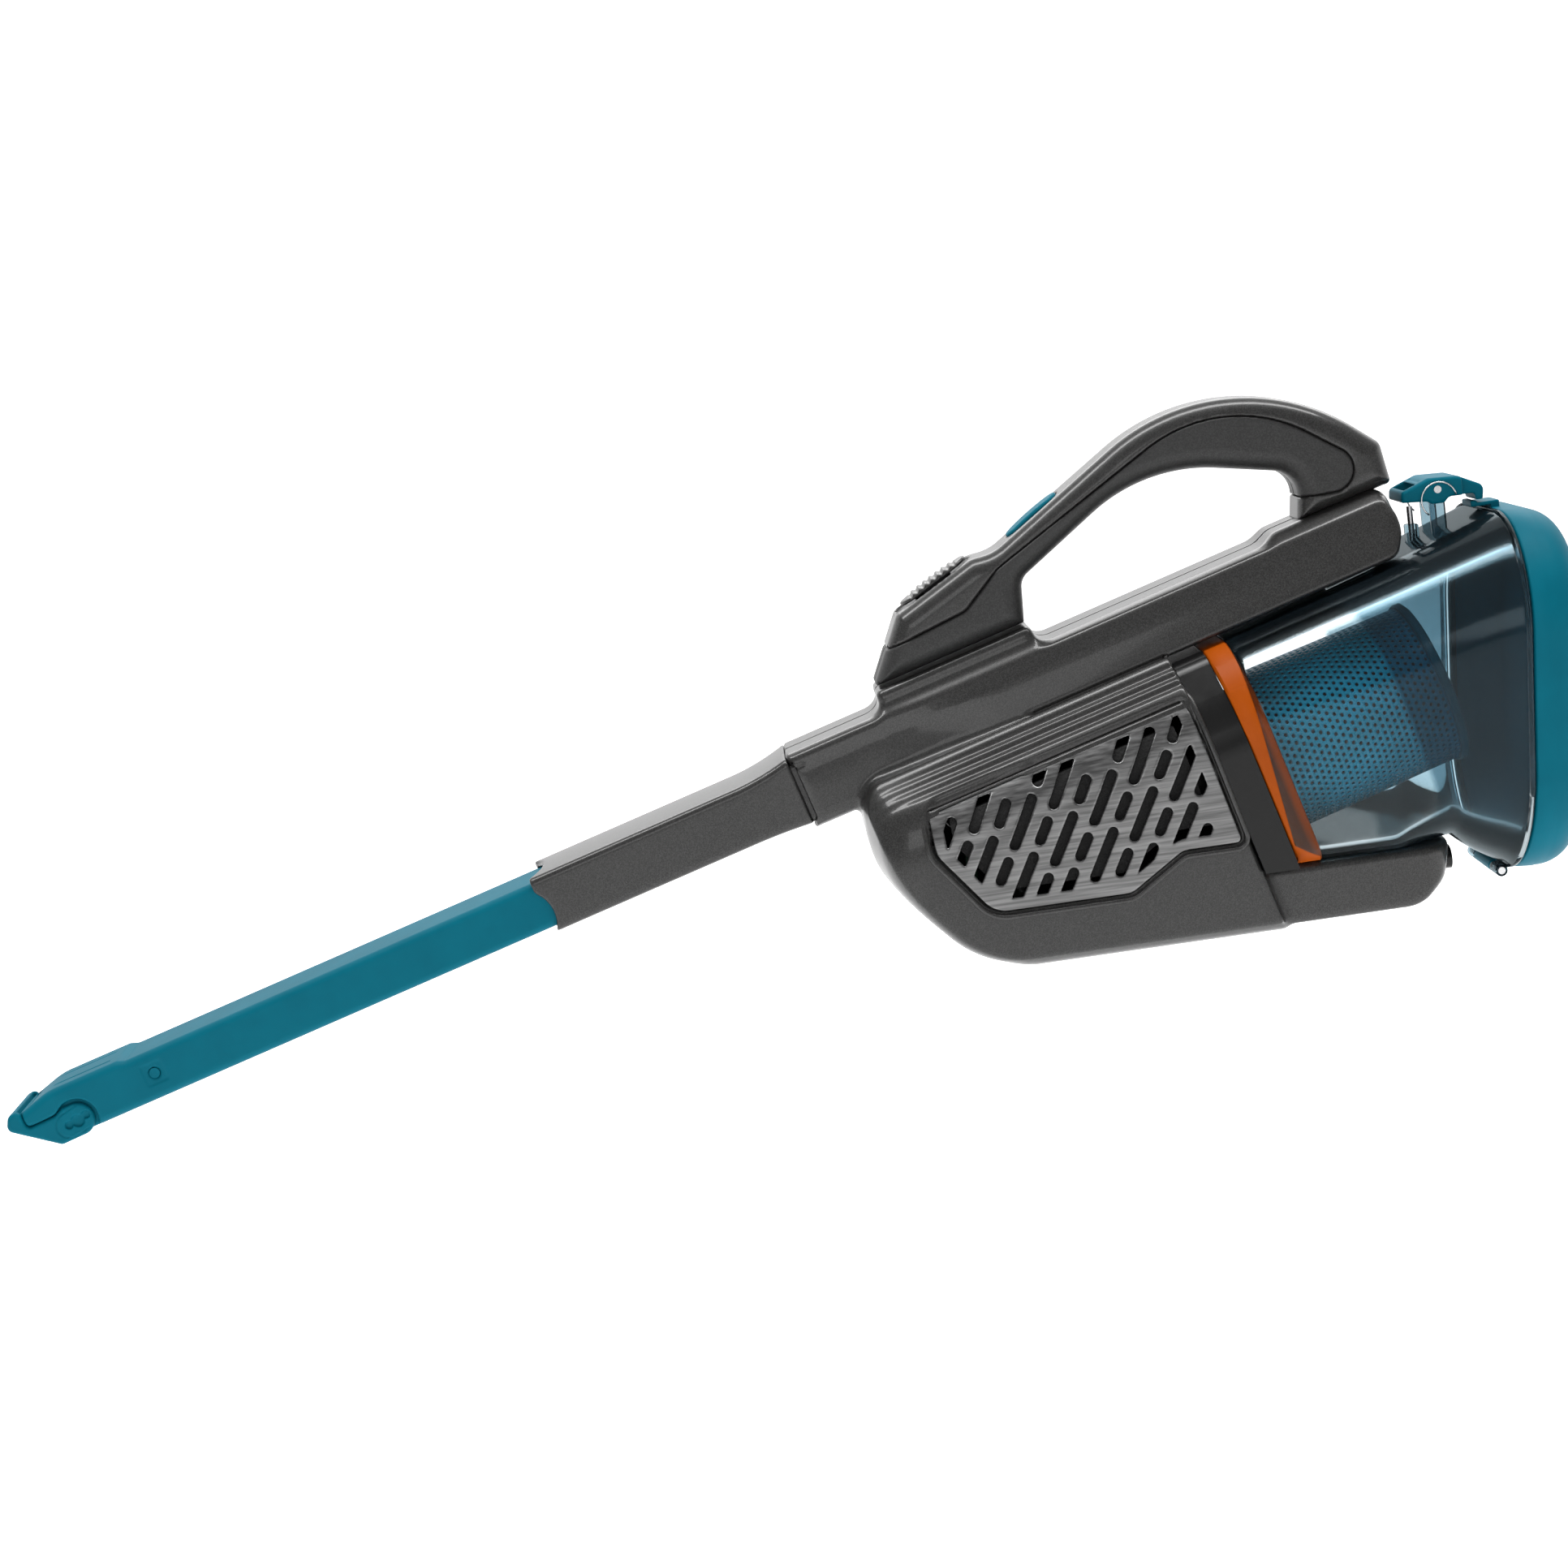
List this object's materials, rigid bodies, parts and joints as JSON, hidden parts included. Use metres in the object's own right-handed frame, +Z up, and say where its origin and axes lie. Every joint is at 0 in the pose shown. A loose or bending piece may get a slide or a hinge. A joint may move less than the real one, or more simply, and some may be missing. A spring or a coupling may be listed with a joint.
{
  "type": "handheld vacuum",
  "caption": "Cordless handheld vacuum with looped handle, clear dust bowl with hinged door, and a crevice tool that slides out of the nozzle.",
  "frame": {"origin": "centre of the flat underside of the battery base", "axes": "+X to the rear (bowl door), -X to the nozzle, +Z up, the vacuum's left side faces -Y"},
  "size_m": [0.6632, 0.13, 0.2353],
  "materials": {
    "metallic_grey": "metallic flake gloss",
    "matte_grip": "fine matt grain",
    "teal": "satin",
    "orange": "satin",
    "steel": "brushed",
    "black_plastic": "satin",
    "clear_smoke": "clear, tinted",
    "screen_teal": "perforated",
    "filter_cloth": "pleated",
    "foam": "open cell",
    "black_rubber": "matt",
    "zinc": "plated",
    "cell_wrap": "wrapped",
    "circuit": "lacquered",
    "contact": "plated",
    "bristle": "nylon",
    "duct_plastic": "satin",
    "rotor_metal": "machined"
  },
  "bodies": {
    "main_unit": {"left_housing": "metallic_grey", "right_housing": "metallic_grey", "housing_screws": "zinc", "base_cover": "black_plastic", "cover_screws": "zinc", "charging_contacts": "contact", "rubber_feet": "black_rubber", "battery_cells": "cell_wrap", "battery_tray": "black_plastic", "nozzle": "metallic_grey", "front_air_duct": "duct_plastic", "rear_air_duct": "duct_plastic", "handle_cover": "metallic_grey", "grip_left": "matte_grip", "grip_right": "matte_grip", "switch_module": "black_plastic", "vent_grille_left": "steel", "vent_grille_right": "steel", "exhaust_foam_left": "foam", "exhaust_foam_right": "foam", "motor_can": "zinc", "motor_mount": "black_plastic", "fan_shroud": "black_plastic", "control_board": "circuit", "filter_housing": "black_plastic", "prefilter_screen": "screen_teal", "pleated_filter": "filter_cloth", "filter_end_cap": "teal", "release_spring": "zinc"},
    "crevice": {"crevice_tool": "teal"},
    "flip_brush": {"brush_frame": "teal", "brush_bristles": "bristle"},
    "detent_left": {"detent_button_left": "teal"},
    "detent_right": {"detent_button_right": "teal"},
    "switch": {"power_switch": "metallic_grey"},
    "boost": {"boost_button": "teal"},
    "rotor": {"impeller": "black_plastic", "motor_shaft": "zinc", "motor_rotor": "rotor_metal"},
    "bowl": {"dust_bowl": "clear_smoke", "bowl_seal": "orange", "latch_stop_pin": "zinc", "flap_pin": "zinc", "door_hinge_pin": "zinc"},
    "flap": {"flap_valve": "black_rubber"},
    "door": {"bowl_door": "teal", "door_seal": "black_rubber"},
    "latch": {"door_latch": "teal", "latch_pin": "zinc", "latch_spring": "zinc"},
    "bowl_release": {"bowl_release_button": "black_plastic"}
  },
  "joints": [
    {"name": "tool_slide", "type": "slide", "parent": "main_unit", "child": "crevice", "axis": [0.9632, 0, 0.2689], "range_m": [0, 0.18]},
    {"name": "brush_flip", "type": "hinge", "parent": "crevice", "child": "flip_brush", "pos_m": [-0.47481, 0, -0.01565], "axis": [0, -1, 0], "range_deg": [0, 85]},
    {"name": "detent_left_press", "type": "slide", "parent": "crevice", "child": "detent_left", "axis": [0, 1, 0], "range_m": [0, 0.0008], "stiffness_N_per_m": 800},
    {"name": "detent_right_press", "type": "slide", "parent": "crevice", "child": "detent_right", "axis": [0, -1, 0], "range_m": [0, 0.0008], "stiffness_N_per_m": 800},
    {"name": "switch_slide", "type": "slide", "parent": "main_unit", "child": "switch", "axis": [-0.8721, 0, -0.4894], "range_m": [0, 0.003]},
    {"name": "boost_press", "type": "slide", "parent": "main_unit", "child": "boost", "axis": [0.5519, 0, -0.8339], "range_m": [0, 0.0015], "stiffness_N_per_m": 500},
    {"name": "rotor_spin", "type": "hinge", "parent": "main_unit", "child": "rotor", "pos_m": [-0.02916, 0, 0.04555], "axis": [0.9632, 0, 0.2689], "continuous": true},
    {"name": "bowl_slide", "type": "slide", "parent": "main_unit", "child": "bowl", "axis": [0.9632, 0, 0.2689], "range_m": [0, 0.11]},
    {"name": "flap_swing", "type": "hinge", "parent": "bowl", "child": "flap", "pos_m": [0.06056, 0, 0.12397], "axis": [0, 1, 0], "range_deg": [0, 35], "stiffness_Nm_per_rad": 0.01},
    {"name": "door_swing", "type": "hinge", "parent": "bowl", "child": "door", "pos_m": [0.11958, 0, 0.00387], "axis": [0, 1, 0], "range_deg": [0, 100]},
    {"name": "latch_press", "type": "hinge", "parent": "bowl", "child": "latch", "pos_m": [0.1115, 0, 0.1616], "axis": [0, -1, 0], "range_deg": [0, 12], "stiffness_Nm_per_rad": 0.3},
    {"name": "release_press", "type": "slide", "parent": "main_unit", "child": "bowl_release", "axis": [-1, 0, 0], "range_m": [0, 0.003], "stiffness_N_per_m": 600}
  ]
}
